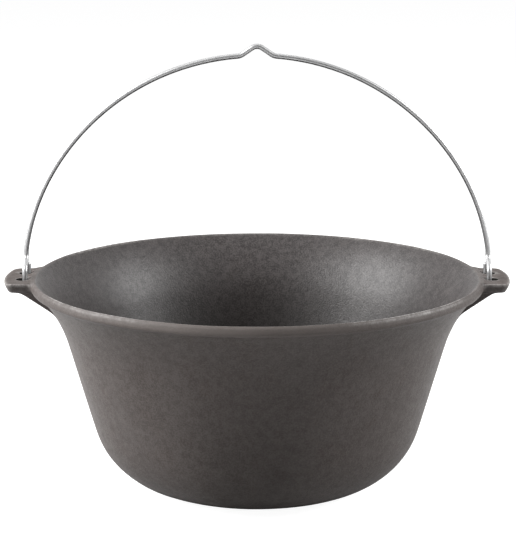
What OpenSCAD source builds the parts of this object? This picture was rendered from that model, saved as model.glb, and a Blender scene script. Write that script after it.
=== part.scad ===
// Cast iron hanging pot with a wire bail.
// Millimetres. The origin is the centre of the flat base, +Z is up and +X runs to one ear.

/* [Bowl] */
// Outer radius of the rim
rim_r = 170; // [150:1:190]
// Height from the base to the top of the rim
pot_h = 160; // [140:1:180]
// Outer radius of the round corner between base and wall
corner_r = 60; // [50:1:68]
// Inner radius of the round corner between floor and wall
inner_corner_r = 55; // [45:1:62]
// Lean of the wall from upright, in degrees
wall_lean = 16; // [13:0.5:18]
// Height of the flared part, down from the top of the rim
flare_h = 48; // [40:1:60]
// Radius of the flare, as seen from the side
flare_r = 98; // [85:1:140]
// Thickness of the wall, square to its surface
wall_t = 5; // [4:0.25:6]
// Thickness of the floor
floor_t = 5.5; // [4:0.25:8]

/* [Rim lip] */
// Height of the thicker band round the rim
lip_h = 8.5; // [7:0.5:12]
// How far the band stands out from the wall at its lower edge
lip_proud = 5; // [4:0.5:6]
// Rise of the band's sloping underside
lip_bevel = 1.5; // [0.5:0.25:2]
// Rounding of the band's outer edges
lip_round = 2; // [1:0.25:2.5]

/* [Ears] */
// How far each ear reaches out from the rim
ear_reach = 20; // [17:1:28]
// Width of each ear
ear_w = 60; // [54:1:72]
// Radius of the ear's slightly rounded end
ear_end_r = 110; // [70:5:160]
// How far the ear's corners reach past a half-round end
ear_corner = 7.5; // [4:0.5:9]
// Thickness of the ear
ear_t = 7.25; // [6:0.25:9]
// How far the ear's top lies under the top of the rim
ear_drop = 1; // [0.5:0.25:1.5]
// Rounding of the ear's upper edge
ear_round = 1; // [0.5:0.25:2]
// Height of the upright part of the ear's edge, below the rounding
ear_edge_h = 0.5; // [0.25:0.25:2]
// Lean of the edge below that, in from upright, in degrees
ear_draft = 26.5; // [10:0.5:35]
// Slope of the web under the ear, in degrees below level
web_slope = 34; // [28:1:45]
// Where the web starts, measured out from the rim
web_start = 5.5; // [2:0.5:8]
// How far the web's sides stand out past the ear's lower edges
web_out = 0.4; // [0.2:0.1:1]

/* [Ear holes] */
// Diameter of each cast hole
hole_d = 10.3; // [9:0.1:11.5]
// Distance between the two holes of one ear
hole_pitch = 22; // [21:0.5:26]
// Iron left between the rim and each hole
hole_land = 0.4; // [0.2:0.1:4]
// Room round the holes on the ear's underside, kept clear of the web
seat_room = 1; // [0.5:0.25:2]
// How far inside the middle of the holes the wire's legs stand
leg_in = 1.5; // [0:0.1:2]

/* [Bail] */
// Diameter of the bail wire
wire_d = 4; // [3:0.25:4.5]
// Gap between the hook and the underside of the ear
hook_gap = 1.3; // [1:0.1:2.5]
// Radius of the bends of the hook and the crank
bend_r = 5; // [4:0.25:6]
// Height of the wire's tail above the ear
tail_h = 8.5; // [5:0.5:12]
// Height of the crank's lower end above the ear
crank_h = 5; // [3:0.5:9]
// Slope of the crank from upright, in degrees
crank_angle = 60; // [50:1:65]
// Straight wire between the crank and the knee above it
knee_gap = 1; // [0.5:0.5:6]
// Radius of the knee
knee_r = 25; // [15:1:40]
// Lean of the arch where it leaves the knee, in degrees
arch_lean = 9; // [6:0.2:11]
// Height of the arch above the knee
bail_rise = 148; // [125:1:175]
// Angle from the top at which the crown meets the flanks, in degrees
crown_angle = 59; // [50:1:64]

/* [Peak of the bail] */
// Half the width of the peak that a hanging hook sits in
peak_half = 14.5; // [13:0.5:18]
// Slope of the peak's sides, in degrees
peak_slope = 34; // [28:1:40]
// Radius of the peak's top bend
peak_r = 6.5; // [4:0.5:8]
// Radius of the bend at each foot of the peak
peak_foot_r = 8; // [6:0.5:9]

/* [Hidden] */
iron = "#4c4744";
steel = "#b9bcc0";
// Steps in each long arc of an outline, and in each small rounding
arc_steps = 12;
round_steps = 4;
// Angle that the rounding of the lip's lower edge turns through
lip_turn = 60;
// How far the holes' cylinders run past the ear's faces
hole_over = 1;
// Every second length of the bail's wire is this much slimmer and laps this far into the next
wire_slim = 0.04;
wire_lap = 0.2;
// Facets of turned shapes, of the holes, of the wire and of its bends
turned_fn = 180;
hole_fn = 64;
wire_fn = 40;
bend_fn = 120;

// The flare's arc runs down from the neck under the lip to the straight wall
lip_z = pot_h - lip_h;
lip_cx = rim_r - lip_round;
neck_r = rim_r - lip_proud;
flare_z = pot_h - flare_h;
flare_cz = flare_z - flare_r * sin(wall_lean);
flare_end = asin((lip_z - flare_cz) / flare_r);
flare_cx = neck_r + flare_r * cos(flare_end);
flare_x = flare_cx - flare_r * cos(wall_lean);
flare_in_r = flare_r + wall_t;
flare_in_end = asin((pot_h - flare_cz) / flare_in_r);

// The straight wall runs down from there to the round corner
wall_z = corner_r * (1 - sin(wall_lean));
wall_x = flare_x - (flare_z - wall_z) * tan(wall_lean);
base_r = wall_x - corner_r * cos(wall_lean);

// The inner corner touches the floor and the wall's inner face
inner_cz = floor_t + inner_corner_r;
inner_cx = wall_x
    + ((inner_cz - wall_z) * sin(wall_lean) - wall_t - inner_corner_r) / cos(wall_lean);

ear_top = pot_h - ear_drop;
ear_bottom = ear_top - ear_t;
ear_mid = ear_top - ear_round - ear_edge_h;
ear_tip = rim_r + ear_reach;
ear_cx = ear_tip - ear_end_r;
ear_under = (ear_mid - ear_bottom) * tan(ear_draft);
// A circle about this point takes off the ear's two corners
nose_cx = ear_tip - ear_w / 2;
nose_r = ear_w / 2 + ear_corner;
// The ear and its web start inside the wall
root_x = flare_x;
web_x = rim_r + web_start;
web_drop = (web_x - root_x) * tan(web_slope);
web_top_x = web_x + (ear_mid - ear_bottom) / tan(web_slope);

// The holes stand clear of the rim
leg_y = hole_pitch / 2;
hole_x = sqrt(pow(rim_r + hole_land + hole_d / 2, 2) - leg_y * leg_y);
leg_x = hole_x - leg_in;
seat_x = hole_x - hole_d / 2 - seat_room;
seat_half = leg_y + hole_d / 2 + seat_room;

// The crank is two equal bends with a straight between them
wire_r = wire_d / 2;
slim_d = wire_d - wire_slim;
hook_z = ear_bottom - hook_gap - wire_r;
tail_top = ear_top + tail_h;
crank_low = ear_top + crank_h;
crank_side = (leg_y - 2 * bend_r * (1 - cos(crank_angle))) / sin(crank_angle);
crank_z = crank_low + 2 * bend_r * sin(crank_angle) + crank_side * cos(crank_angle);
knee_z = crank_z + knee_gap;

// The arch runs knee, flank, crown, each arc tangent to the next
knee_cx = leg_x - knee_r;
knee_x = knee_cx + knee_r * cos(arch_lean);
crown_tan = tan(crown_angle / 2);
flank_r = (bail_rise - knee_r * sin(arch_lean) - knee_x * crown_tan)
    / (1 - sin(arch_lean) - crown_tan * cos(arch_lean));
flank_cx = knee_x - flank_r * cos(arch_lean);
flank_cz = knee_z + (knee_r - flank_r) * sin(arch_lean);
crown_r = flank_r + flank_cx / sin(crown_angle);
crown_cz = flank_cz - (crown_r - flank_r) * cos(crown_angle);

// The peak leaves the crown at this angle from the top
peak_start = asin(peak_half / crown_r);
foot_cx = (crown_r + peak_foot_r) * sin(peak_start);
foot_cz = crown_cz + (crown_r + peak_foot_r) * cos(peak_start);
side_x = foot_cx - peak_foot_r * sin(peak_slope);
side_z = foot_cz - peak_foot_r * cos(peak_slope);
peak_side = (side_x - peak_r * sin(peak_slope)) / cos(peak_slope);
peak_cz = side_z + peak_side * sin(peak_slope) - peak_r * cos(peak_slope);

// Points on an arc about [cx, cz]
function arc(cx, cz, r, from, to, steps = arc_steps) =
    [for (i = [0:steps]) let (a = from + (to - from) * i / steps)
        [cx + r * cos(a), cz + r * sin(a)]];

// Inner face of the bowl, from the floor up to the top of the rim
function inner_face() = concat(
    arc(inner_cx, inner_cz, inner_corner_r, -90, -wall_lean),
    arc(flare_cx, flare_cz, flare_in_r, 180 - wall_lean, 180 - flare_in_end)
);

function reversed(points) = [for (i = [len(points) - 1:-1:0]) points[i]];

// Edge of the ear, half a width out from its middle, from the underside up
function ear_edge(half) = concat(
    [[half - ear_under, ear_bottom], [half, ear_mid]],
    arc(half - ear_round, ear_top - ear_round, ear_round, 0, 90, round_steps)
);

module bowl() {
    rotate_extrude($fn = turned_fn) polygon(concat(
        [[0, 0]],
        arc(base_r, corner_r, corner_r, -90, -wall_lean),
        arc(flare_cx, flare_cz, flare_r, 180 - wall_lean, 180 - flare_end),
        arc(lip_cx, lip_z + lip_bevel + lip_round, lip_round, -lip_turn, 0, round_steps),
        arc(lip_cx, pot_h - lip_round, lip_round, 0, 90, round_steps),
        reversed(inner_face()),
        [[0, floor_t]]
    ));
}

module bowl_space() {
    rotate_extrude($fn = turned_fn)
        polygon(concat([[0, floor_t]], inner_face(), [[0, pot_h]]));
}

// Solid turned from the ear's edge, half a width out
module ear_turned(half) {
    rotate_extrude($fn = turned_fn)
        polygon(concat([[0, ear_bottom]], ear_edge(half), [[0, ear_top]]));
}

// A straight bar, cut by the long arc of the ear's end and by the circle across its corners
module ear_plate() {
    intersection() {
        translate([root_x, 0, 0]) rotate([90, 0, 90]) linear_extrude(ear_tip - root_x)
            polygon(concat(ear_edge(ear_w / 2),
                [for (p = reversed(ear_edge(ear_w / 2))) [-p[0], p[1]]]));
        translate([ear_cx, 0, 0]) ear_turned(ear_end_r);
        translate([nose_cx, 0, 0]) ear_turned(nose_r);
    }
}

// Sloping web under the ear, cut back to leave a flat seat round the holes
module ear_web() {
    half = ear_w / 2 - ear_under + web_out;
    difference() {
        translate([0, half, 0]) rotate([90, 0, 0]) linear_extrude(2 * half) polygon([
            [root_x, ear_bottom - web_drop],
            [web_top_x, ear_mid],
            [root_x, ear_mid]
        ]);
        translate([seat_x, -seat_half, ear_bottom - web_drop])
            cube([web_x, 2 * seat_half, web_drop + ear_t]);
    }
}

module pot() {
    color(iron) difference() {
        union() {
            bowl();
            for (side = [0, 1]) mirror([side, 0, 0]) difference() {
                union() {
                    ear_plate();
                    ear_web();
                }
                bowl_space();
            }
        }
        for (side = [-1, 1], y = [-leg_y, leg_y])
            translate([side * hole_x, y, ear_bottom - hole_over])
                cylinder(d = hole_d, h = ear_t + 2 * hole_over, $fn = hole_fn);
    }
}

// Wire bent about [cx, cz] in the XZ plane, angles from +X towards +Z.
// A slim length of wire laps into the full ones at its ends.
module bend(cx, cz, r, from, to, slim = false) {
    lap = slim ? wire_lap / r * 180 / PI : 0;
    translate([cx, 0, cz]) rotate([90, 0, 0]) rotate([0, 0, from - lap])
        rotate_extrude(angle = to - from + 2 * lap, $fn = bend_fn)
            translate([r, 0]) circle(d = slim ? slim_d : wire_d, $fn = wire_fn);
}

// Straight wire from [x, z], at an angle from +X towards +Z
module straight(x, z, angle, length, slim = false) {
    lap = slim ? wire_lap : 0;
    translate([x, 0, z]) rotate([0, 90 - angle, 0]) translate([0, 0, -lap])
        cylinder(d = slim ? slim_d : wire_d, h = length + 2 * lap, $fn = wire_fn);
}

// The crank and the hook, drawn in the XZ plane with X across the pot.
// From the knee the wire cranks forward, drops through the front hole,
// turns under the ear and comes up through the rear hole.
module hook() {
    front_cx = bend_r - leg_y;
    hook_cz = hook_z + bend_r;
    straight(0, crank_z, 90, knee_gap);
    bend(-bend_r, crank_z, bend_r, -crank_angle, 0, slim = true);
    straight(-bend_r * (1 - cos(crank_angle)), crank_z - bend_r * sin(crank_angle),
        270 - crank_angle, crank_side);
    bend(front_cx, crank_low, bend_r, 180 - crank_angle, 180, slim = true);
    straight(-leg_y, hook_cz, 90, crank_low - hook_cz);
    bend(front_cx, hook_cz, bend_r, 180, 270, slim = true);
    straight(front_cx, hook_z, 0, -2 * front_cx);
    bend(-front_cx, hook_cz, bend_r, 270, 360, slim = true);
    straight(leg_y, hook_cz, 90, tail_top - hook_cz);
}

module bail() {
    color(steel) union() {
        for (side = [0, 1]) mirror([side, 0, 0]) {
            translate([leg_x, 0, 0]) rotate([0, 0, 90]) hook();
            bend(knee_cx, knee_z, knee_r, 0, arch_lean, slim = true);
            bend(flank_cx, flank_cz, flank_r, arch_lean, 90 - crown_angle);
            bend(0, crown_cz, crown_r, 90 - crown_angle, 90 - peak_start, slim = true);
            bend(foot_cx, foot_cz, peak_foot_r, 270 - peak_slope, 270 - peak_start);
            straight(side_x, side_z, 180 - peak_slope, peak_side, slim = true);
        }
        bend(0, peak_cz, peak_r, 90 - peak_slope, 90 + peak_slope);
    }
}

pot();
bail();
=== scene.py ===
import math

import bmesh
import bpy
import numpy as np
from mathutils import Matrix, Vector, noise


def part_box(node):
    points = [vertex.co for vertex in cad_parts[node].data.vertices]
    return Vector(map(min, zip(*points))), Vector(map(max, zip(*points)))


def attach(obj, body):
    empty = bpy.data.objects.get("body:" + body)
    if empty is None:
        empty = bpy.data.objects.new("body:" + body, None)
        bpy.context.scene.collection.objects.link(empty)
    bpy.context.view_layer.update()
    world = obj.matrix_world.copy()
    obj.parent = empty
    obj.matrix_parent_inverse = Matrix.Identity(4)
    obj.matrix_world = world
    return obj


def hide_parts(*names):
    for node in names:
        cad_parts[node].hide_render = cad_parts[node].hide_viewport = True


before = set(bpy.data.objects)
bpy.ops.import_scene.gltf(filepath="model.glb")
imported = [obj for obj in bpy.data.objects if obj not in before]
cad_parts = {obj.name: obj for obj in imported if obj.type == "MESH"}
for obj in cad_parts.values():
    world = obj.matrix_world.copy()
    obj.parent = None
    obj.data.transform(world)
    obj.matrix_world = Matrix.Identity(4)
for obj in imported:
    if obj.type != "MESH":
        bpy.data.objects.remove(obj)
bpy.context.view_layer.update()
potLow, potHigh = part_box("pot")
bailLow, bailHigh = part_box("bail")
mm = 0.001  # shapes are written in millimetres, as on a drawing
print("frame loaded:", sorted(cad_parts))


# camera: the photo's view, fitted to the rim's ellipse
camera = {
    "width": 516,
    "height": 540,
    "distance": 1.445,  # metres from the middle of the rim
    "elevation": 12.02,
    "focalPixels": 1915.9,
    "centre": (257.1, 274.7),  # where the middle of the rim falls in the picture
    "sensor": 36.0,
}


def makeCamera(c):
    data = bpy.data.cameras.new("photoCamera")
    data.sensor_fit = "VERTICAL"
    data.sensor_height = c["sensor"]
    data.lens = c["sensor"] * c["focalPixels"] / c["height"]
    data.shift_x = (c["width"] / 2 - c["centre"][0]) / c["height"]
    data.shift_y = (c["centre"][1] - c["height"] / 2) / c["height"]
    data.clip_end = 50
    cam = bpy.data.objects.new("photoCamera", data)
    bpy.context.scene.collection.objects.link(cam)
    e = math.radians(c["elevation"])
    target = Vector((0, 0, potHigh.z))
    cam.location = target + c["distance"] * Vector((0, -math.cos(e), math.sin(e)))
    cam.rotation_euler = (math.pi / 2 - e, 0, 0)
    bpy.context.scene.camera = cam


makeCamera(camera)
bpy.context.scene.view_settings.view_transform = "Standard"
print("camera set")


# studio
studio = {
    "floorSize": 12.0,
    "floorDiffuse": (0.36, 0.36, 0.36, 1),
    "floorGlow": 0.95,  # what the floor adds to white, for the camera and for reflections
    "gapSize": 0.12,
    "roomLight": (0.08, 0.08, 0.085, 1),
    "lamps": {
        "leftSoftbox": {"at": (-1.57, -0.14, 1.14), "size": (1.5, 1.2), "watts": 86},
        "rightSoftbox": {"at": (1.59, -0.05, 1.02), "size": (0.9, 1.0), "watts": 41},
        "frontSoftbox": {"at": (-1.35, -1.10, 0.90), "size": (0.7, 0.7), "watts": 2.5},
        "topSoftbox": {"at": (-0.1, 0.5, 1.9), "size": (1.0, 0.7), "watts": 6},
    },
    "flag": {"left": -0.7, "right": 2.1, "y": -2.6, "height": 2.6, "color": (0.01, 0.01, 0.01, 1)},
}


# 1 for rays that should see the white background, and 0 for light bounces
def backgroundRays(tree, gapSize=None):
    def joined(operation, a, b):
        node = tree.nodes.new("ShaderNodeMath")
        node.operation = operation
        tree.links.new(a, node.inputs[0])
        tree.links.new(b, node.inputs[1])
        return node.outputs[0]

    rays = tree.nodes.new("ShaderNodeLightPath")
    mirrored = joined("MAXIMUM", rays.outputs["Is Glossy Ray"], rays.outputs["Is Transmission Ray"])
    if gapSize:
        gap = tree.nodes.new("ShaderNodeAmbientOcclusion")  # gaps under the object look dark in its reflections
        gap.inputs["Distance"].default_value = gapSize
        gap.samples = 8
        mirrored = joined("MULTIPLY", mirrored, gap.outputs["AO"])
    return joined("MAXIMUM", rays.outputs["Is Camera Ray"], mirrored)


def makeFloor(s):
    half = s["floorSize"] / 2
    mesh = bpy.data.meshes.new("floor")
    mesh.from_pydata([(-half, -half, 0), (half, -half, 0), (half, half, 0), (-half, half, 0)], [], [(0, 1, 2, 3)])
    floor = bpy.data.objects.new("floor", mesh)
    bpy.context.scene.collection.objects.link(floor)
    material = bpy.data.materials.new("paleFloor")
    material.use_nodes = True
    tree = material.node_tree
    tree.nodes.clear()
    diffuse = tree.nodes.new("ShaderNodeBsdfDiffuse")
    diffuse.inputs["Color"].default_value = s["floorDiffuse"]
    glow = tree.nodes.new("ShaderNodeEmission")
    strength = tree.nodes.new("ShaderNodeMath")
    strength.operation = "MULTIPLY"
    strength.inputs[1].default_value = s["floorGlow"]
    add = tree.nodes.new("ShaderNodeAddShader")
    out = tree.nodes.new("ShaderNodeOutputMaterial")
    tree.links.new(backgroundRays(tree, s["gapSize"]), strength.inputs[0])
    tree.links.new(strength.outputs[0], glow.inputs["Strength"])
    tree.links.new(diffuse.outputs[0], add.inputs[0])
    tree.links.new(glow.outputs[0], add.inputs[1])
    tree.links.new(add.outputs[0], out.inputs["Surface"])
    mesh.materials.append(material)


def makeWorld(s):
    world = bpy.data.worlds.new("studioRoom")
    bpy.context.scene.world = world
    world.use_nodes = True
    tree = world.node_tree
    tree.nodes.clear()
    room = tree.nodes.new("ShaderNodeBackground")
    room.inputs["Color"].default_value = s["roomLight"]
    white = tree.nodes.new("ShaderNodeBackground")
    white.inputs["Color"].default_value = (1, 1, 1, 1)
    mix = tree.nodes.new("ShaderNodeMixShader")
    out = tree.nodes.new("ShaderNodeOutputWorld")
    tree.links.new(backgroundRays(tree), mix.inputs[0])
    tree.links.new(room.outputs[0], mix.inputs[1])
    tree.links.new(white.outputs[0], mix.inputs[2])
    tree.links.new(mix.outputs[0], out.inputs["Surface"])


def makeLamps(s):
    aim = Vector((0, 0, potHigh.z * 0.7))
    for name, lamp in s["lamps"].items():
        data = bpy.data.lights.new(name, "AREA")
        data.shape = "RECTANGLE"
        data.size, data.size_y = lamp["size"]
        data.energy = lamp["watts"]
        light = bpy.data.objects.new(name, data)
        light.location = lamp["at"]
        light.rotation_euler = (aim - Vector(lamp["at"])).to_track_quat("-Z", "Y").to_euler()
        bpy.context.scene.collection.objects.link(light)


# a black card behind the camera, as in a product studio, which the camera doesn't see
def makeFlag(flag):
    left, right, y, top = flag["left"], flag["right"], flag["y"], flag["height"]
    mesh = bpy.data.meshes.new("flag")
    mesh.from_pydata([(left, y, 0), (right, y, 0), (right, y, top), (left, y, top)], [], [(0, 1, 2, 3)])
    card = bpy.data.objects.new("flag", mesh)
    bpy.context.scene.collection.objects.link(card)
    card.visible_camera = False
    material = bpy.data.materials.new("blackCard")
    material.use_nodes = True
    shader = material.node_tree.nodes["Principled BSDF"]
    shader.inputs["Base Color"].default_value = flag["color"]
    shader.inputs["Roughness"].default_value = 1.0
    shader.inputs["Specular IOR Level"].default_value = 0.0
    mesh.materials.append(material)


makeFloor(studio)
makeWorld(studio)
makeLamps(studio)
makeFlag(studio["flag"])
print("studio built")


# shared effects, as shader node groups
def newGroup(name, inputs, outputs):
    """inputs are (name, value) pairs; outputs are (name, socket type) pairs."""
    group = bpy.data.node_groups.new(name, "ShaderNodeTree")
    for label, value in inputs:
        kind = "NodeSocketColor" if isinstance(value, tuple) else "NodeSocketFloat"
        socket = group.interface.new_socket(name=label, in_out="INPUT", socket_type=kind)
        socket.default_value = value
    for label, kind in outputs:
        group.interface.new_socket(name=label, in_out="OUTPUT", socket_type=kind)
    return group, group.nodes.new("NodeGroupInput"), group.nodes.new("NodeGroupOutput")


def addMath(group, operation, a, b=None, clamp=False):
    node = group.nodes.new("ShaderNodeMath")
    node.operation = operation
    node.use_clamp = clamp
    for socket, value in zip(node.inputs, (a, b)):
        if isinstance(value, (int, float)):
            socket.default_value = value
        elif value is not None:
            group.links.new(value, socket)
    return node.outputs[0]


def addNoise(group, place, scale, detail=2.0, roughness=0.5):
    node = group.nodes.new("ShaderNodeTexNoise")
    group.links.new(place, node.inputs["Vector"])
    node.inputs["Detail"].default_value = detail
    node.inputs["Roughness"].default_value = roughness
    if isinstance(scale, (int, float)):
        node.inputs["Scale"].default_value = scale
    else:
        group.links.new(scale, node.inputs["Scale"])
    return node.outputs["Fac"]


# height of a surface cast in sand, with fine grains and a few pits, and a mask of its lighter specks
def makeSandCastGrain():
    group, given, result = newGroup(
        "sandCastGrain",
        [("Grain Scale", 700.0), ("Pit Scale", 170.0), ("Pit Amount", 0.3), ("Speck Scale", 110.0),
         ("Speck Contrast", 5.0)],
        [("Height", "NodeSocketFloat"), ("Specks", "NodeSocketFloat")])
    place = group.nodes.new("ShaderNodeTexCoord").outputs["Object"]
    fine = addNoise(group, place, given.outputs["Grain Scale"], 2.0, 0.6)
    pits = group.nodes.new("ShaderNodeTexVoronoi")
    group.links.new(place, pits.inputs["Vector"])
    group.links.new(given.outputs["Pit Scale"], pits.inputs["Scale"])
    hollow = addMath(group, "SUBTRACT", 1.0, addMath(group, "MULTIPLY", pits.outputs["Distance"], 3.2), True)
    depth = addMath(group, "MULTIPLY", hollow, given.outputs["Pit Amount"])
    group.links.new(addMath(group, "SUBTRACT", fine, depth), result.inputs["Height"])
    specks = addNoise(group, place, given.outputs["Speck Scale"], 1.0, 0.6)
    clouds = addNoise(group, place, addMath(group, "MULTIPLY", given.outputs["Speck Scale"], 0.22), 1.0, 0.6)
    both = addMath(group, "ADD", addMath(group, "MULTIPLY", specks, 0.64), addMath(group, "MULTIPLY", clouds, 0.36))
    spread = addMath(group, "MULTIPLY", addMath(group, "SUBTRACT", both, 0.5), given.outputs["Speck Contrast"])
    group.links.new(addMath(group, "ADD", spread, 0.5, True), result.inputs["Specks"])
    return group


def makeMottle():
    """Mixes two tones in soft patches, with a third tone in smaller stains."""
    group, given, result = newGroup(
        "mottle",
        [("Tone A", (0.05, 0.05, 0.05, 1)), ("Tone B", (0.07, 0.07, 0.07, 1)), ("Stain", (0.06, 0.05, 0.045, 1)),
         ("Patch Scale", 22.0), ("Stain Scale", 60.0), ("Stain Amount", 0.4)],
        [("Color", "NodeSocketColor")])
    place = group.nodes.new("ShaderNodeTexCoord").outputs["Object"]
    patches = addNoise(group, place, given.outputs["Patch Scale"], 4.0, 0.6)
    stains = addNoise(group, place, given.outputs["Stain Scale"], 3.0, 0.6)
    tones = group.nodes.new("ShaderNodeMix")
    tones.data_type = "RGBA"
    group.links.new(addMath(group, "ADD", addMath(group, "MULTIPLY", addMath(
        group, "SUBTRACT", patches, 0.5), 3.0), 0.5, True), tones.inputs["Factor"])
    group.links.new(given.outputs["Tone A"], tones.inputs["A"])
    group.links.new(given.outputs["Tone B"], tones.inputs["B"])
    stained = group.nodes.new("ShaderNodeMix")
    stained.data_type = "RGBA"
    amount = addMath(group, "MULTIPLY", addMath(group, "MULTIPLY", addMath(
        group, "SUBTRACT", stains, 0.52), 6.0, True), given.outputs["Stain Amount"])
    group.links.new(amount, stained.inputs["Factor"])
    group.links.new(tones.outputs["Result"], stained.inputs["A"])
    group.links.new(given.outputs["Stain"], stained.inputs["B"])
    group.links.new(stained.outputs["Result"], result.inputs["Color"])
    return group


def makeEdgeWearAndGlint():
    """Mask of worn edges and of painted highlights on the rim's edge, from the mesh's own edge mark, broken up by
    noise.
    """
    group, given, result = newGroup(
        "edgeWearMask", [("Break Scale", 420.0), ("Break Amount", 0.75)], [("Mask", "NodeSocketFloat")])
    edges = group.nodes.new("ShaderNodeAttribute")
    edges.attribute_name = "edgeWear"
    place = group.nodes.new("ShaderNodeTexCoord").outputs["Object"]
    patches = addNoise(group, place, given.outputs["Break Scale"], 3.0, 0.6)
    spread = addMath(group, "ADD", addMath(group, "MULTIPLY", addMath(group, "SUBTRACT", patches, 0.5), 4.0), 0.5, True)
    kept = addMath(group, "SUBTRACT", 1.0, addMath(group, "MULTIPLY", spread, given.outputs["Break Amount"]))
    group.links.new(addMath(group, "MULTIPLY", edges.outputs["Fac"], kept, True), result.inputs["Mask"])
    return group


sandCastGrain = makeSandCastGrain()
edgeWearMask = makeEdgeWearAndGlint()
mottle = makeMottle()
print("shader groups built")


# cast iron
castIron = {
    "outside": {
        "toneA": (0.046, 0.037, 0.034, 1), "toneB": (0.059, 0.050, 0.047, 1), "stain": (0.047, 0.035, 0.031, 1),
        "speck": (0.125, 0.112, 0.105, 1), "speckAmount": 0.42, "speckScale": 850.0, "speckContrast": 3.6,
        # the darkest tone below is painted shade, mixed in down the holes, round the foot and low on the front
        "worn": (0.30, 0.285, 0.275, 1), "wornAmount": 0.75, "deepTone": (0.010, 0.009, 0.008, 1),
        "grainScale": 700.0, "pitScale": 150.0, "pitAmount": 0.30, "bump": 0.27, "bumpDistance": 0.0005,
        "roughness": 0.52, "roughnessSpread": 0.06, "earTopRough": 0.24, "darkRough": 0.4, "specular": 0.18,
        # the lighter lip tone below is painted light, laid on the lip's face at the front and the back
        "rubbed": (0.115, 0.100, 0.093, 1), "rubbedAmount": 0.8,
    },
    "inside": {
        "toneA": (0.0175, 0.0150, 0.0145, 1), "toneB": (0.0275, 0.0240, 0.0235, 1), "stain": (0.020, 0.0165, 0.015, 1),
        "speck": (0.132, 0.118, 0.116, 1), "speckAmount": 0.36, "speckScale": 850.0, "speckContrast": 4.2,
        # the darkest tone below is painted shade, mixed in low in the bowl
        "worn": (0.30, 0.285, 0.27, 1), "wornAmount": 0.85, "deepTone": (0.010, 0.009, 0.008, 1),
        "grainScale": 700.0, "pitScale": 150.0, "pitAmount": 0.4, "bump": 0.35, "bumpDistance": 0.0005,
        "roughness": 0.41, "roughnessSpread": 0.06, "earTopRough": 0.0, "darkRough": 0.0, "specular": 0.27,
        # the lighter lip tone below is painted light, laid on the lip's face at the front and the back
        "rubbed": (0.10, 0.09, 0.085, 1), "rubbedAmount": 0.8,
    },
}


def makeIron(name, look):
    material = bpy.data.materials.new(name)
    material.use_nodes = True
    tree = material.node_tree
    shader = tree.nodes["Principled BSDF"]
    shader.inputs["Specular IOR Level"].default_value = look["specular"]

    def placed(group, **values):
        node = tree.nodes.new("ShaderNodeGroup")
        node.node_tree = group
        for socket in node.inputs:
            key = socket.name[0].lower() + socket.name[1:].replace(" ", "")
            if key in values:
                socket.default_value = values[key]
        return node

    def tinted(color, tint, amount):
        mix = tree.nodes.new("ShaderNodeMix")
        mix.data_type = "RGBA"
        mix.inputs["B"].default_value = tint
        tree.links.new(amount, mix.inputs["Factor"])
        tree.links.new(color, mix.inputs["A"])
        return mix.outputs["Result"]

    grain = placed(sandCastGrain, **look)
    tone = placed(mottle, **look)
    wear = placed(edgeWearMask, **look)
    # painted shade: the iron darkened down the holes, round the foot, low on the front and low in the bowl
    shadeMask = tree.nodes.new("ShaderNodeAttribute")
    shadeMask.attribute_name = "darkIron"
    specks = addMath(tree, "MULTIPLY", grain.outputs["Specks"], look["speckAmount"])
    wornAmount = addMath(tree, "MULTIPLY", wear.outputs["Mask"], look["wornAmount"])
    color = tinted(tone.outputs["Color"], look["speck"], specks)
    # painted light: the lip's face made lighter, most at the front and the back
    lipLight = tree.nodes.new("ShaderNodeAttribute")
    lipLight.attribute_name = "rimRub"
    color = tinted(color, look["rubbed"], addMath(tree, "MULTIPLY", lipLight.outputs["Fac"], look["rubbedAmount"]))
    # worn edges, and painted highlights along stretches of the rim's top edge
    color = tinted(color, look["worn"], wornAmount)
    top = tree.nodes.new("ShaderNodeAttribute")
    top.attribute_name = "earTop"
    color = tinted(color, look["deepTone"], shadeMask.outputs["Fac"])
    tree.links.new(color, shader.inputs["Base Color"])
    shine = addMath(tree, "MULTIPLY", grain.outputs["Specks"], look["roughnessSpread"])
    rough = addMath(tree, "SUBTRACT", look["roughness"] + look["roughnessSpread"] / 2, shine)
    rough = addMath(tree, "SUBTRACT", rough, addMath(tree, "MULTIPLY", wornAmount, 0.15))
    rough = addMath(tree, "ADD", rough, addMath(tree, "MULTIPLY", top.outputs["Fac"], look["earTopRough"]))
    rough = addMath(tree, "ADD", rough, addMath(tree, "MULTIPLY", shadeMask.outputs["Fac"], look["darkRough"]), True)
    tree.links.new(rough, shader.inputs["Roughness"])
    bump = tree.nodes.new("ShaderNodeBump")
    bump.inputs["Strength"].default_value = look["bump"]
    bump.inputs["Distance"].default_value = look["bumpDistance"]
    tree.links.new(grain.outputs["Height"], bump.inputs["Height"])
    tree.links.new(bump.outputs["Normal"], shader.inputs["Normal"])
    return material


ironOutside = makeIron("castIronOutside", castIron["outside"])
ironInside = makeIron("castIronInside", castIron["inside"])
print("cast iron mixed")


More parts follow.
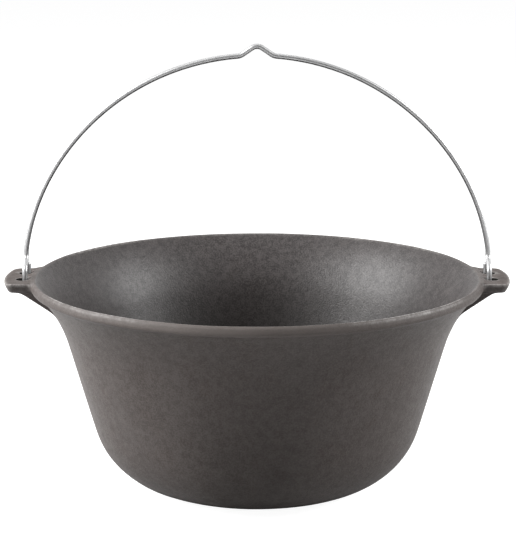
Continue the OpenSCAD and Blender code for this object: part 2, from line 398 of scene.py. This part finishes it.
# the casting
casting = {
    "wallLean": 16.0, "cornerR": 60.0, "innerCornerR": 55.0, "flareH": 48.0, "flareR": 98.0,
    "wallT": 5.0, "floorT": 5.5,
    "lipH": 8.5, "lipProud": 5.0,
    "earEndR": 110.0, "earW": 60.0, "earCornerR": 6.0, "earRootR": 3.5, "earDrop": 1.0, "earT": 7.25,
    "earRound": 1.0, "earUnder": 2.87, "earDraftH": 5.75, "earRise": 4.0,
    "webSlope": 34.0, "webStart": 5.5,
    "holeD": 10.3, "holePitch": 22.0, "holeLand": 0.4, "holeRound": 0.8, "seatRoom": 1.0, "seatSkim": 0.2,
    "endColumns": 14, "cornerColumns": 8, "sideColumns": 4, "rootColumns": 6, "columnStep": 2.4,
    "unevenness": ((42.0, 0.22), (14.0, 0.08)), "unevenSeed": 7, "edgeCurves": (70.0, 420.0),
    # where the rim's top edge is painted bright, as wear and as painted highlights where the lamps glint: angle round
    # it, half width in degrees, amount
    "wornStretches": ((223, 24, 1.0), (311, 25, 1.9), (48, 26, 0.7), (96, 12, 0.4), (140, 20, 0.8)),
    "wornElsewhere": 0.2,
    # painted shade: how high the foot is darkened and how much, a darker patch low on the front (angle round it, half
    # width, height, amount), and the bowl darkened towards its bottom (amount, top, fade)
    "footH": 16.0, "footDark": 0.62, "soot": (268.0, 26.0, 118.0, 0.38), "bowlDark": 0.5, "bowlDarkTop": 150.0, "bowlDarkFade": 60.0,
}
rimR = potHigh.y / mm
potH = potHigh.z / mm
earTip = potHigh.x / mm


def sind(a):
    return math.sin(math.radians(a))


def cosd(a):
    return math.cos(math.radians(a))


def steps(start, end, count):
    """count values after start, the last of them end."""
    return [start + (end - start) * i / count for i in range(1, count + 1)]


def mixed(a, b, t):
    return a + (b - a) * t


def smooth(t):
    t = max(0.0, min(1.0, t))
    return t * t * (3 - 2 * t)


class BowlWall:
    """Radii of the bowl's outer and inner face by height."""

    def __init__(self, c):
        self.lipZ = potH - c["lipH"]
        self.neckR = rimR - c["lipProud"]
        self.flareZ = potH - c["flareH"]
        self.lean, self.cornerR, self.innerR = c["wallLean"], c["cornerR"], c["innerCornerR"]
        self.flareR, self.flareInR = c["flareR"], c["flareR"] + c["wallT"]
        self.flareCz = self.flareZ - self.flareR * sind(self.lean)
        end = math.asin((self.lipZ - self.flareCz) / self.flareR)
        self.flareCx = self.neckR + self.flareR * math.cos(end)
        flareX = self.flareCx - self.flareR * cosd(self.lean)
        self.wallZ = self.cornerR * (1 - sind(self.lean))
        self.wallX = flareX - (self.flareZ - self.wallZ) * math.tan(math.radians(self.lean))
        self.baseR = self.wallX - self.cornerR * cosd(self.lean)
        self.floorT = c["floorT"]
        self.innerCz = self.floorT + self.innerR
        self.innerCx = self.wallX + (
            (self.innerCz - self.wallZ) * sind(self.lean) - c["wallT"] - self.innerR) / cosd(self.lean)
        self.innerFlareZ = self.flareCz + self.flareInR * sind(self.lean)
        self.innerCornerZ = self.innerCz - self.innerR * sind(self.lean)

    def outer(self, z):
        if z >= self.flareZ:
            return self.flareCx - math.sqrt(self.flareR ** 2 - (z - self.flareCz) ** 2)
        return self.wallX + (z - self.wallZ) * math.tan(math.radians(self.lean))

    def inner(self, z):
        if z >= self.innerFlareZ:
            return self.flareCx - math.sqrt(self.flareInR ** 2 - (z - self.flareCz) ** 2)
        return self.innerCx + self.innerR * cosd(self.lean) + (z - self.innerCornerZ) * math.tan(math.radians(self.lean))


def earOutline(c):
    """One quarter of the ear's outline in plan, from the tip to the rim, then the rim up to a quarter turn.
    Each entry is (point, outward normal, kind, share), where share runs 0 to 1 within the kind."""
    endR, half, corner, root = c["earEndR"], c["earW"] / 2, c["earCornerR"], c["earRootR"]
    middle = earTip - endR
    cornerY = half - corner
    cornerX = middle + math.sqrt((endR - corner) ** 2 - cornerY ** 2)
    turn = math.degrees(math.atan2(cornerY, cornerX - middle))
    rootY = half + root
    rootX = math.sqrt((rimR + root) ** 2 - rootY ** 2)
    rootTurn = math.degrees(math.atan2(rootY, rootX))
    out = []
    for i in range(c["endColumns"] + 1):
        a = turn * i / c["endColumns"]
        out.append((Vector((middle + endR * cosd(a), endR * sind(a))), Vector((cosd(a), sind(a))), "end", 0))
    for a in steps(turn, 90, c["cornerColumns"]):
        point = Vector((cornerX + corner * cosd(a), cornerY + corner * sind(a)))
        out.append((point, Vector((cosd(a), sind(a))), "corner", 0))
    out += [(Vector((x, half)), Vector((0, 1)), "side", 0) for x in steps(cornerX, rootX, c["sideColumns"])]
    for i, a in enumerate(steps(-90, -180 + rootTurn, c["rootColumns"])):
        away = Vector((cosd(a), sind(a)))
        out.append((Vector((rootX, rootY)) + root * away, -away, "root", (i + 1) / c["rootColumns"]))
    count = round((90 - rootTurn) / c["columnStep"])
    for a in steps(rootTurn, 90, count):
        out.append((rimR * Vector((cosd(a), sind(a))), Vector((cosd(a), sind(a))), "rim", 0))
    return out


def polar(r, angle, z):
    return Vector((r * math.cos(angle), r * math.sin(angle), z))


def castingColumns(c, wall):
    """Sections of one quarter of the casting, each from the base's middle round the rim to the floor's middle."""
    earTop = potH - c["earDrop"]
    earBottom = earTop - c["earT"]
    webX = rimR + c["webStart"]
    slope = math.tan(math.radians(c["webSlope"]))
    under, rnd = c["earUnder"], c["earRound"]
    draft = under / c["earDraftH"]
    earEdge = [(under + 0.9, earBottom), (under + 0.2, earBottom + 0.25), (under - draft * 1.1, earBottom + 1.1),
               (draft * 0.8, earBottom + c["earDraftH"] - 0.8), (0, earTop - rnd)]
    earEdge += [(rnd * (1 - cosd(a)), earTop - rnd * (1 - sind(a))) for a in (30, 60, 90)]
    lipEdge = [(1.25, potH - 7.15), (0.5, potH - 6.55), (0.08, potH - 5.7), (0, potH - 4.8), (0.4, potH - 3.4),
               (0.85, potH - 2.1), (1.35, potH - 1.05), (2.2, potH - 0.2)]
    lipUnder = [(3.4, potH - 8.05), (2.3, potH - 7.55)]
    upper = 9  # rows between the web's root and the neck under the lip
    topRows = 6
    outline = earOutline(c)
    lastWeb = max(i for i, entry in enumerate(outline) if entry[2] == "corner")
    sideEnd = lastWeb + c["sideColumns"] + 2
    rootEnd = lastWeb + c["sideColumns"] + c["rootColumns"]
    sideY = c["earW"] / 2 - under

    def webRoot(y):
        low, high = wall.flareZ, earBottom
        for _ in range(40):
            z = (low + high) / 2
            if math.sqrt(wall.outer(z) ** 2 - y * y) > webX - (earBottom - z) / slope:
                low = z
            else:
                high = z
        return low

    sideRoot = webRoot(sideY)
    sideAngle = math.asin(sideY / wall.outer(sideRoot))
    columns = []
    for i, (point, normal, kind, share) in enumerate(outline):
        angle = math.atan2(point.y, point.x)
        bottomPoint = point - normal * under
        isWeb = i <= lastWeb
        isSide = lastWeb < i < sideEnd
        y = min(bottomPoint.y, sideY)
        if isWeb:
            rootZ = webRoot(y)
            rootAngle = math.asin(y / wall.outer(rootZ))
            topAngle = math.asin(y / rimR)
        elif isSide:
            rootZ, rootAngle = sideRoot, sideAngle + 0.0012 * (i - lastWeb)
            topAngle = mixed(math.asin(sideY / rimR), math.atan2(outline[sideEnd][0].y, outline[sideEnd][0].x),
                             (i - lastWeb) / (sideEnd - lastWeb))
        else:
            rootZ, topAngle = sideRoot, angle
            rootAngle = angle
            if kind == "root":
                first = math.atan2(outline[sideEnd][0].y, outline[sideEnd][0].x)
                last = math.atan2(outline[rootEnd][0].y, outline[rootEnd][0].x)
                rootAngle = mixed(sideAngle + 0.012, last, (angle - first) / (last - first))
        column = []
        # the outer face, from the base up to the web's root
        for r in (18, 36, 50, 58, 63):
            column.append(polar(r, rootAngle, 0))
        for a in [-90] + steps(-90, -wall.lean, 10):
            column.append(polar(wall.baseR + wall.cornerR * cosd(a), rootAngle, wall.cornerR * (1 + sind(a))))
        for z in steps(wall.wallZ, wall.flareZ, 5) + steps(wall.flareZ, rootZ, 4):
            column.append(polar(wall.outer(z), rootAngle, z))

        # from there along the web's slope, or up the flare to the neck
        def slopePath(yy):
            z0 = webRoot(yy)
            top = min(webX, bottomPoint.x - 1.6 if isWeb else webX)
            x0 = webX - (earBottom - z0) / slope
            return [Vector((x, yy, earBottom - max(0.0, webX - x) * slope)) for x in steps(x0, top, upper)]

        def flarePath(fromAngle, toAngle):
            out = []
            for k, z in enumerate(steps(sideRoot, wall.lipZ, upper)):
                out.append(polar(wall.outer(z), mixed(fromAngle, toAngle, (k + 1) / upper), z))
            return out

        def contactPath():
            return [Vector((math.sqrt(wall.outer(z) ** 2 - sideY ** 2), sideY, z))
                    for z in steps(sideRoot, wall.lipZ, upper)]

        lipRows = [polar(rimR - d, topAngle, z) for d, z in lipUnder]
        edgeStart = point - normal * earEdge[0][0]
        if isWeb:
            rows = slopePath(y)
            start = rows[-1]
            end = Vector((edgeStart.x, edgeStart.y, earBottom))
            rows += [start.lerp(end, 1 / 3), start.lerp(end, 2 / 3)]
        elif isSide:
            t = (i - lastWeb) / (sideEnd - lastWeb)
            rows = [a.lerp(b, t) for a, b in zip(slopePath(sideY), contactPath())]
            tip = Vector((webX + 0.1, sideY, earBottom))
            rows += [tip.lerp(b, t) for b in lipRows]
        elif i == sideEnd:
            rows = contactPath() + lipRows
        else:
            rows = flarePath(rootAngle, topAngle) + lipRows
        column += rows

        # the edge of the ear or of the lip
        weight = 1.0 if kind in ("end", "corner", "side") else 1 - smooth(share) if kind == "root" else 0.0
        for (earD, earZ), (lipD, lipZ) in zip(earEdge, lipEdge):
            flat = point - normal * mixed(lipD, earD, weight)
            column.append(Vector((flat.x, flat.y, mixed(lipZ, earZ, weight))))

        # the top, from the edge in to the rim's inner edge
        outside = column[-1]
        innerTop = polar(rimR - 2.75, topAngle, potH)
        for t in steps(0, 1, topRows):
            t = mixed(t, t * (2 - t), weight)
            place = outside.lerp(innerTop, t)
            r = math.hypot(place.x, place.y)
            lifted = mixed(earTop, potH, smooth((rimR + c["earRise"] - r) / c["earRise"]))
            place.z = mixed(potH, min(lifted, potH), weight)
            column.append(place)

        # the inner edge, the inner face and the floor
        for inset, z in ((0.35, potH - 0.2), (0.05, potH - 0.75)):
            column.append(polar(wall.inner(z) - 0.0 + inset * 0.6, topAngle, z))
        inside = steps(potH - 0.75, wall.innerFlareZ, 10) + steps(wall.innerFlareZ, wall.innerCornerZ, 5)
        column += [polar(wall.inner(z), topAngle, z) for z in inside]
        for a in steps(-wall.lean, -90, 10):
            column.append(polar(wall.innerCx + wall.innerR * cosd(a), topAngle, wall.innerCz + wall.innerR * sind(a)))
        column += [polar(r, topAngle, wall.floorT) for r in (58, 48, 34, 18)]
        columns.append(column)
    return columns


def wholeRing(quarter):
    """The four quarters of the ring, in order, from one."""
    def flip(column, sx, sy):
        return [Vector((p.x * sx, p.y * sy, p.z)) for p in column]

    ring = [flip(q, 1, 1) for q in quarter]
    ring += [flip(q, -1, 1) for q in reversed(quarter[:-1])]
    ring += [flip(q, -1, -1) for q in quarter[1:]]
    ring += [flip(q, 1, -1) for q in reversed(quarter[1:-1])]
    return ring


def ringMesh(name, ring, insideFrom):
    """A mesh from a ring of columns, open at both poles. Faces from row insideFrom on take the second material."""
    rows = len(ring[0])
    verts = [p * mm for column in ring for p in column]
    faces, slots = [], []
    for i in range(len(ring)):
        a, b = i * rows, (i + 1) % len(ring) * rows
        for k in range(rows - 1):
            faces.append((a + k, b + k, b + k + 1, a + k + 1))
            slots.append(1 if k >= insideFrom else 0)
    mesh = bpy.data.meshes.new(name)
    mesh.from_pydata(verts, [], faces)
    mesh.polygons.foreach_set("material_index", slots)
    mesh.polygons.foreach_set("use_smooth", [True] * len(faces))
    piece = bpy.data.objects.new(name, mesh)
    bpy.context.scene.collection.objects.link(piece)
    return piece


def fillPoles(piece):
    """Closes the middle of the base and of the floor."""
    shape = bmesh.new()
    shape.from_mesh(piece.data)
    made = bmesh.ops.holes_fill(shape, edges=[e for e in shape.edges if e.is_boundary], sides=0)["faces"]
    for face in made:
        face.material_index = 1 if face.calc_center_median().z > 0.001 else 0
    made = bmesh.ops.poke(shape, faces=made)["faces"]
    for face in made:
        face.smooth = True
    bmesh.ops.recalc_face_normals(shape, faces=shape.faces[:])
    shape.to_mesh(piece.data)
    shape.free()


def applyModifier(piece, modifier):
    bpy.context.view_layer.objects.active = piece
    bpy.ops.object.modifier_apply(modifier=modifier.name)


def soften(piece, fromX, lowZ, times):
    """Rounds the web's edges and fills its inner corners, as in a sand casting."""
    shape = bmesh.new()
    shape.from_mesh(piece.data)
    near = [v for v in shape.verts if abs(v.co.x) > fromX * mm and abs(v.co.y) < 33 * mm and v.co.z > lowZ * mm
            and v.co.z < (potH - 8.0) * mm and math.hypot(v.co.x, v.co.y) > 143 * mm]
    for _ in range(times):
        bmesh.ops.smooth_vert(shape, verts=near, factor=0.5, use_axis_x=True, use_axis_y=True, use_axis_z=True)
    shape.to_mesh(piece.data)
    shape.free()


def combine(piece, other, operation):
    modifier = piece.modifiers.new("combine", "BOOLEAN")
    modifier.operation = operation
    modifier.solver = "EXACT"
    modifier.object = other
    applyModifier(piece, modifier)
    bpy.data.objects.remove(other)


def turnedCutter(name, outline, segments, place):
    """A closed turned solid from (radius, height) points, standing at place."""
    verts, faces = [], []
    for r, z in outline:
        for k in range(segments):
            a = 2 * math.pi * k / segments
            verts.append(((place[0] + r * math.cos(a)) * mm, (place[1] + r * math.sin(a)) * mm, z * mm))
    for row in range(len(outline) - 1):
        for k in range(segments):
            a, b = row * segments + k, row * segments + (k + 1) % segments
            faces.append((a, b, b + segments, a + segments))
    faces.append(tuple(reversed(range(segments))))
    faces.append(tuple(range(len(verts) - segments, len(verts))))
    mesh = bpy.data.meshes.new(name)
    mesh.from_pydata(verts, [], faces)
    cutter = bpy.data.objects.new(name, mesh)
    bpy.context.scene.collection.objects.link(cutter)
    return cutter


def boxCutter(name, low, high, rounding):
    shape = bmesh.new()
    bmesh.ops.create_cube(shape, size=1)
    size = Vector(high) - Vector(low)
    middle = (Vector(high) + Vector(low)) / 2
    for v in shape.verts:
        v.co = Vector((v.co.x * size.x, v.co.y * size.y, v.co.z * size.z)) * mm + middle * mm
    bmesh.ops.bevel(shape, geom=shape.edges[:], offset=rounding * mm, segments=3, profile=0.5, affect="EDGES")
    mesh = bpy.data.meshes.new(name)
    shape.to_mesh(mesh)
    shape.free()
    cutter = bpy.data.objects.new(name, mesh)
    bpy.context.scene.collection.objects.link(cutter)
    return cutter


def cutEars(piece, c):
    """Cuts the four cast holes, with rounded edges, and the seat that the bail's hook turns in."""
    legY = c["holePitch"] / 2
    r = c["holeD"] / 2
    holeX = math.sqrt((rimR + c["holeLand"] + r) ** 2 - legY ** 2)
    top = potH - c["earDrop"]
    bottom = top - c["earT"]
    rnd = c["holeRound"]
    outline = [(r + rnd, bottom - 3), (r + rnd, bottom)]
    outline += [(r + rnd * (1 - sind(a)), bottom + rnd * (1 - cosd(a))) for a in (30, 60, 90)]
    outline += [(r + rnd * (1 - cosd(a)), top - rnd * (1 - sind(a))) for a in (0, 30, 60, 90)]
    outline += [(r + rnd, top + 3)]
    cutter = None
    for side in (-1, 1):
        low = (min(side * (holeX - r - c["seatRoom"]), side * (earTip + 9)), -(legY + r + c["seatRoom"]), bottom - 20)
        high = (max(side * (holeX - r - c["seatRoom"]), side * (earTip + 9)), legY + r + c["seatRoom"],
                bottom - c["seatSkim"])
        parts = [boxCutter("seatCutter", low, high, 1.0)]
        parts += [turnedCutter("holeCutter", outline, 40, (side * holeX, y)) for y in (-legY, legY)]
        for part in parts:
            if cutter is None:
                cutter = part
            else:
                combine(cutter, part, "UNION")
    combine(piece, cutter, "DIFFERENCE")


# moves the skin a little, as sand moulds leave it, by layers of (size in mm, depth in mm); the move is one smooth
# field in space, so that faces which lie close together don't fold over each other
def roughen(piece, layers, seed):
    noise.seed_set(seed)  # where in the noise the field starts
    mesh = piece.data
    moved = []
    for v in mesh.vertices:
        shift = Vector()
        for size, amount in layers:
            shift += amount * noise.noise_vector(v.co / (size * mm))
        fade = smooth(v.co.z / (6 * mm)) if v.co.z < 6 * mm else 1.0
        moved.append(v.co + shift * fade * mm)
    for v, place in zip(mesh.vertices, moved):
        v.co = place
    mesh.update()


def markEdges(piece, c):
    """Keeps how sharply each point of the skin bulges, from 0 on flat iron to 1 on an edge, as its edge mark; on the
    rim's top the mark is scaled by stretches round the rim, which paint highlights where the lamps glint as well as
    wear.
    """
    mesh = piece.data
    count = len(mesh.vertices)
    places = np.empty(count * 3)
    normals = np.empty(count * 3)
    ends = np.empty(len(mesh.edges) * 2, dtype=int)
    mesh.vertices.foreach_get("co", places)
    mesh.vertices.foreach_get("normal", normals)
    mesh.edges.foreach_get("vertices", ends)
    places, normals, ends = places.reshape(-1, 3), normals.reshape(-1, 3), ends.reshape(-1, 2)
    span = places[ends[:, 1]] - places[ends[:, 0]]
    turn = normals[ends[:, 1]] - normals[ends[:, 0]]
    bulge = (span * turn).sum(1) / np.maximum((span * span).sum(1), 1e-9)
    total = np.zeros(count)
    for side in (0, 1):
        np.maximum.at(total, ends[:, side], bulge)
    low, high = c["edgeCurves"]
    wear = np.clip((total - low) / (high - low), 0, 1)
    for i, (x, y, z) in enumerate(places / mm):
        # on the rim's top the mark is scaled round the rim: wear, and painted highlights where the lamps glint on the
        # edge
        if z > potH - c["lipH"] and math.hypot(x, y) < rimR + 1:
            turn = math.degrees(math.atan2(y, x)) % 360
            stretches = [amount * smooth(2 - 2 * abs(turn - middle) / half)
                         for middle, half, amount in c["wornStretches"]]
            broken = 0.85 + 0.9 * noise.noise(Vector((x, y, z)) / 4.5)
            wear[i] *= broken * max([c["wornElsewhere"]] + stretches) if z > potH - 3.2 else 0
    mesh.attributes.new("edgeWear", "FLOAT", "POINT").data.foreach_set("value", wear)


# keeps painted shade, from 0 to 1, on the mesh: darker iron down the holes, round the foot, low on the front and low in
# the bowl, where shade falls
def markPaintedShade(piece, c):
    legY = c["holePitch"] / 2
    r = c["holeD"] / 2
    holeX = math.sqrt((rimR + c["holeLand"] + r) ** 2 - legY ** 2)
    mesh = piece.data
    darks = []
    for v in mesh.vertices:
        x, y, z = abs(v.co.x) / mm, abs(v.co.y) / mm, v.co.z / mm
        dark = 0.0
        # painted shade down the holes, where their walls fall into shadow
        if z > potH - c["earDrop"] - c["earT"] - 0.5:
            hole = math.hypot(x - holeX, y - legY)
            dark = smooth((r + c["holeRound"] * 0.6 - hole) / (c["holeRound"] * 0.5))
        mottled = 1 + 0.2 * noise.noise(v.co / (16 * mm))
        # painted shade on the outside: the iron darker towards the foot, and in a broad patch low on the front
        if z < c["floorT"] - 1 or v.normal.x * v.co.x + v.normal.y * v.co.y > 0:
            dark = max(dark, c["footDark"] * smooth(1 - z / c["footH"]) * mottled)
            middle, half, high, amount = c["soot"]
            turn = math.degrees(math.atan2(v.co.y, v.co.x)) % 360
            dark = max(dark, amount * smooth(1.2 - abs(turn - middle) / half) * smooth(1.2 - z / high) * mottled)
        else:
            # painted shade inside: the bowl darkened towards its bottom
            dark = max(dark, c["bowlDark"] * smooth((c["bowlDarkTop"] - z) / c["bowlDarkFade"]) * mottled)
        darks.append(dark)
    mesh.attributes.new("darkIron", "FLOAT", "POINT").data.foreach_set("value", darks)


# keeps the ears' flat tops, where the sand's grain stays coarse, as earTop
def markEars(piece, c):
    tops = [smooth((v.normal.z - 0.8) / 0.15) if math.hypot(v.co.x, v.co.y) / mm > rimR + 0.5 else 0.0
            for v in piece.data.vertices]
    piece.data.attributes.new("earTop", "FLOAT", "POINT").data.foreach_set("value", tops)


# keeps painted light on the lip's face: lighter in broad uneven patches, strongest at the front and the back
def markLipLight(piece, c):
    mesh = piece.data
    lipLights = []
    for v in mesh.vertices:
        r, below = math.hypot(v.co.x, v.co.y) / mm, potH - v.co.z / mm
        onLip = rimR - 3.2 < r < rimR + 0.6 and below < c["lipH"] - 0.8 and 0.0 < v.normal.x * v.co.x + v.normal.y * v.co.y
        patch = (v.co.y / mm / r) ** 4 * (0.9 + 0.5 * noise.noise(v.co / (30 * mm)))
        lipLights.append(patch * smooth((c["lipH"] - 0.8 - below) / 1.2) if onLip else 0.0)
    mesh.attributes.new("rimRub", "FLOAT", "POINT").data.foreach_set("value", lipLights)


def makeCasting(c):
    wall = BowlWall(c)
    quarter = castingColumns(c, wall)
    ring = wholeRing(quarter)
    insideRows = 2 + 10 + 5 + 10 + 4
    piece = ringMesh("castPot", ring, len(ring[0]) - insideRows)
    soften(piece, 140, 120, 2)
    roughen(piece, c["unevenness"], c["unevenSeed"])
    subdivide = piece.modifiers.new("round", "SUBSURF")
    subdivide.levels = 1
    applyModifier(piece, subdivide)
    fillPoles(piece)
    cutEars(piece, c)
    markEdges(piece, c)
    for material in (ironOutside, ironInside):
        piece.data.materials.append(material)
    piece.data.set_sharp_from_angle(angle=math.radians(42))
    # painted shade down the holes, round the foot and low in the bowl
    markPaintedShade(piece, c)
    markEars(piece, c)
    # painted light on the lip's face
    markLipLight(piece, c)
    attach(piece, "pot")
    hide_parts("pot")
    return piece


castPot = makeCasting(casting)
print("casting made:", len(castPot.data.polygons), "faces")


# bright drawn wire
brightWire = {
    "bright": (0.44, 0.44, 0.44, 1), "dull": (0.31, 0.31, 0.315, 1), "roughness": 0.43, "roughnessSpread": 0.14,
    "streaks": 70.0, "bump": 0.05, "bumpDistance": 0.0001,
}


def makeWireMaterial(look):
    material = bpy.data.materials.new("brightWire")
    material.use_nodes = True
    tree = material.node_tree
    shader = tree.nodes["Principled BSDF"]
    shader.inputs["Metallic"].default_value = 1.0
    along = tree.nodes.new("ShaderNodeAttribute")
    along.attribute_name = "wirePlace"
    stretch = tree.nodes.new("ShaderNodeMapping")
    stretch.inputs["Scale"].default_value = (1.0, 1.0, 0.02)
    tree.links.new(along.outputs["Vector"], stretch.inputs["Vector"])
    streaks = addNoise(tree, stretch.outputs["Vector"], look["streaks"] * 40, 3.0, 0.6)
    zinc = addNoise(tree, along.outputs["Vector"], look["streaks"] * 3, 2.0, 0.5)
    wear = addMath(tree, "ADD", addMath(tree, "MULTIPLY", streaks, 0.6), addMath(tree, "MULTIPLY", zinc, 0.4))
    spread = addMath(tree, "ADD", addMath(tree, "MULTIPLY", addMath(tree, "SUBTRACT", wear, 0.5), 3.0), 0.5, True)
    tone = tree.nodes.new("ShaderNodeMix")
    tone.data_type = "RGBA"
    tone.inputs["A"].default_value = look["dull"]
    tone.inputs["B"].default_value = look["bright"]
    tree.links.new(spread, tone.inputs["Factor"])
    tree.links.new(tone.outputs["Result"], shader.inputs["Base Color"])
    rough = addMath(tree, "MULTIPLY", spread, look["roughnessSpread"])
    rough = addMath(tree, "SUBTRACT", look["roughness"] + look["roughnessSpread"] / 2, rough)
    tree.links.new(rough, shader.inputs["Roughness"])
    bump = tree.nodes.new("ShaderNodeBump")
    bump.inputs["Strength"].default_value = look["bump"]
    bump.inputs["Distance"].default_value = look["bumpDistance"]
    tree.links.new(streaks, bump.inputs["Height"])
    tree.links.new(bump.outputs["Normal"], shader.inputs["Normal"])
    return material


# the bail
bail = {
    "wireD": 4.0, "hookGap": 1.3, "bendR": 5.0, "tailH": 8.5, "crankH": 5.0, "crankAngle": 60.0,
    "kneeGap": 1.0, "kneeR": 25.0, "archLean": 9.0, "rise": 148.0, "crownAngle": 59.0,
    "peakHalf": 14.5, "peakSlope": 34.0, "peakR": 6.5, "peakFootR": 8.0,
    "legIn": 1.5, "sides": 20, "archStep": 3.0, "bendStep": 9.0,
}


def bailHalf(b, c):
    """Middle line of half the wire, from the tail's end up to the top of the peak, in millimetres."""
    legY = c["holePitch"] / 2
    holeX = math.sqrt((rimR + c["holeLand"] + c["holeD"] / 2) ** 2 - legY ** 2)
    x = holeX - b["legIn"]
    earTop = potH - c["earDrop"]
    wireR, bendR, turn = b["wireD"] / 2, b["bendR"], b["crankAngle"]
    hookZ = earTop - c["earT"] - b["hookGap"] - wireR
    hookCz = hookZ + bendR
    crankLow = earTop + b["crankH"]
    crankSide = (legY - 2 * bendR * (1 - cosd(turn))) / sind(turn)
    crankZ = crankLow + 2 * bendR * sind(turn) + crankSide * cosd(turn)
    kneeZ = crankZ + b["kneeGap"]
    path = []

    def line(end, step):
        start = path[-1]
        count = max(1, round((end - start).length / step))
        path.extend(start.lerp(end, t) for t in steps(0, 1, count))

    def hookBend(cy, cz, start, end):
        for a in steps(start, end, max(2, round(abs(end - start) / b["bendStep"]))):
            path.append(Vector((x, cy + bendR * cosd(a), cz + bendR * sind(a))))

    def archBend(cx, cz, r, start, end, degrees=None):
        count = max(3, round(abs(end - start) / degrees)) if degrees else max(
            3, round(math.radians(abs(end - start)) * r / b["archStep"]))
        for a in steps(start, end, count):
            path.append(Vector((cx + r * cosd(a), 0, cz + r * sind(a))))

    path.append(Vector((x, legY, earTop + b["tailH"])))
    line(Vector((x, legY, hookCz)), 1.5)
    hookBend(legY - bendR, hookCz, 0, -90)
    line(Vector((x, bendR - legY, hookZ)), 2)
    hookBend(bendR - legY, hookCz, -90, -180)
    line(Vector((x, -legY, crankLow)), 1.5)
    hookBend(bendR - legY, crankLow, 180, 180 - turn)
    slant = path[-1] + crankSide * Vector((0, sind(turn), cosd(turn)))
    line(slant, 1)
    hookBend(-bendR, crankZ, -turn, 0)
    line(Vector((x, 0, kneeZ)), 0.5)
    kneeCx = x - b["kneeR"]
    lean, crown = b["archLean"], b["crownAngle"]
    kneeX = kneeCx + b["kneeR"] * cosd(lean)
    crownTan = math.tan(math.radians(crown / 2))
    flankR = (b["rise"] - b["kneeR"] * sind(lean) - kneeX * crownTan) / (1 - sind(lean) - crownTan * cosd(lean))
    flankCx = kneeX - flankR * cosd(lean)
    flankCz = kneeZ + (b["kneeR"] - flankR) * sind(lean)
    crownR = flankR + flankCx / sind(crown)
    crownCz = flankCz - (crownR - flankR) * cosd(crown)
    peakStart = math.degrees(math.asin(b["peakHalf"] / crownR))
    footR, slope, peakR = b["peakFootR"], b["peakSlope"], b["peakR"]
    footCx = (crownR + footR) * sind(peakStart)
    footCz = crownCz + (crownR + footR) * cosd(peakStart)
    sideX = footCx - footR * sind(slope)
    sideZ = footCz - footR * cosd(slope)
    peakSide = (sideX - peakR * sind(slope)) / cosd(slope)
    peakCz = sideZ + peakSide * sind(slope) - peakR * cosd(slope)
    archBend(kneeCx, kneeZ, b["kneeR"], 0, lean)
    archBend(flankCx, flankCz, flankR, lean, 90 - crown)
    archBend(0, crownCz, crownR, 90 - crown, 90 - peakStart)
    archBend(footCx, footCz, footR, 270 - peakStart, 270 - slope, b["bendStep"])
    line(Vector((peakR * sind(slope), 0, peakCz + peakR * cosd(slope))), 1)
    archBend(0, peakCz, peakR, 90 - slope, 90, b["bendStep"])
    return path


def sweepWire(name, path, radius, sides):
    """A round wire along path, with slightly domed ends, and its place along the wire kept for the material."""
    points = [Vector(p) for p in path]
    tangents = []
    for i in range(len(points)):
        ahead = points[min(i + 1, len(points) - 1)] - points[max(i - 1, 0)]
        tangents.append(ahead.normalized())
    across = tangents[0].orthogonal().normalized()
    rings, places, run = [], [], 0.0
    for i, (p, t) in enumerate(zip(points, tangents)):
        if i:
            run += (points[i] - points[i - 1]).length
            across = (tangents[i - 1].rotation_difference(t) @ across).normalized()
        across = (across - t * across.dot(t)).normalized()
        side = t.cross(across)
        rings.append((p, t, across, side, radius, run))
    # the cut ends are rounded off
    first, last = rings[0], rings[-1]
    domes = ((0.0, 0.55), (0.35, 0.85), (0.8, 1.0))
    start = [(first[0] + first[1] * d * radius * 0.6, *first[1:4], radius * s, first[5]) for d, s in domes]
    end = [(last[0] - last[1] * d * radius * 0.6, *last[1:4], radius * s, last[5]) for d, s in reversed(domes)]
    rings = start + rings[1:-1] + end
    verts, faces = [], []
    for p, t, u, v, r, along in rings:
        for k in range(sides):
            a = 2 * math.pi * k / sides
            verts.append((p + r * (u * math.cos(a) + v * math.sin(a))) * mm)
            places.append((radius * math.cos(a) * mm, radius * math.sin(a) * mm, along * mm))
    for row in range(len(rings) - 1):
        for k in range(sides):
            a, b = row * sides + k, row * sides + (k + 1) % sides
            faces.append((a, b, b + sides, a + sides))
    faces.append(tuple(reversed(range(sides))))
    faces.append(tuple(range(len(verts) - sides, len(verts))))
    mesh = bpy.data.meshes.new(name)
    mesh.from_pydata(verts, [], faces)
    mesh.polygons.foreach_set("use_smooth", [True] * len(faces))
    place = mesh.attributes.new("wirePlace", "FLOAT_VECTOR", "POINT")
    place.data.foreach_set("vector", [x for p in places for x in p])
    mesh.set_sharp_from_angle(angle=math.radians(50))
    piece = bpy.data.objects.new(name, mesh)
    bpy.context.scene.collection.objects.link(piece)
    return piece


def makeBail(b, c):
    half = bailHalf(b, c)
    left = [Vector((-p.x, p.y, p.z)) for p in half]
    path = left + list(reversed(half[:-1]))
    piece = sweepWire("wireBail", path, b["wireD"] / 2, b["sides"])
    piece.data.materials.append(makeWireMaterial(brightWire))
    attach(piece, "bail")
    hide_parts("bail")
    return piece


wireBail = makeBail(bail, casting)
print("bail made:", len(wireBail.data.polygons), "faces")
